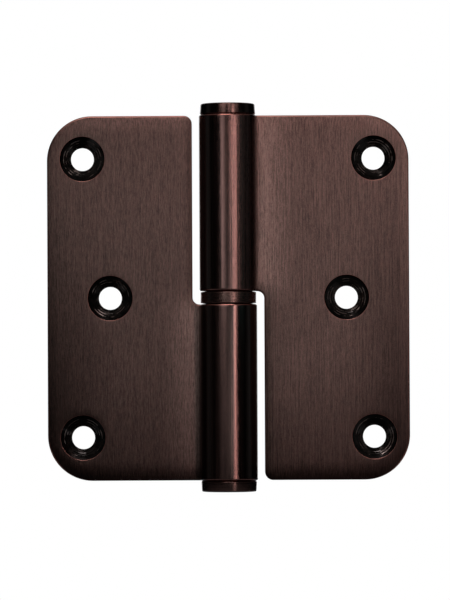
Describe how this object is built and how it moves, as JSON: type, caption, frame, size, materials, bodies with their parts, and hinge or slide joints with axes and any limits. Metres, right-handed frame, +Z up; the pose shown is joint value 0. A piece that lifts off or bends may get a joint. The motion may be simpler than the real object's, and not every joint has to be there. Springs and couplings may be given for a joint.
{
  "type": "paumelle hinge",
  "caption": "Lift-off paumelle door hinge opened flat: rounded sheet leaves with rolled knuckles, a bearing ring, turned end caps and countersunk screw holes.",
  "frame": {"origin": "on the pin's axis, at mid height", "axes": "+Z up along the pin, -Y out of the countersunk faces, the frame leaf to -X and the door leaf to +X, opened flat"},
  "size_m": [0.0882, 0.014, 0.0944],
  "materials": {
    "leaf_bronze": "satin",
    "turned_bronze": "satin",
    "pin_steel": "satin"
  },
  "bodies": {
    "frame_side": {"frame_leaf": "leaf_bronze", "hinge_pin": "pin_steel", "bottom_cap": "turned_bronze"},
    "bearing": {"bearing_ring": "turned_bronze"},
    "door_side": {"door_leaf": "leaf_bronze", "top_cap": "turned_bronze"}
  },
  "joints": [
    {"name": "swing", "type": "hinge", "parent": "frame_side", "child": "bearing", "pos_m": [0, 0, 0], "axis": [0, 0, -1], "range_deg": [-120, 180]},
    {"name": "lift_off", "type": "slide", "parent": "bearing", "child": "door_side", "axis": [0, 0, 1], "range_m": [0, 0.04]}
  ]
}
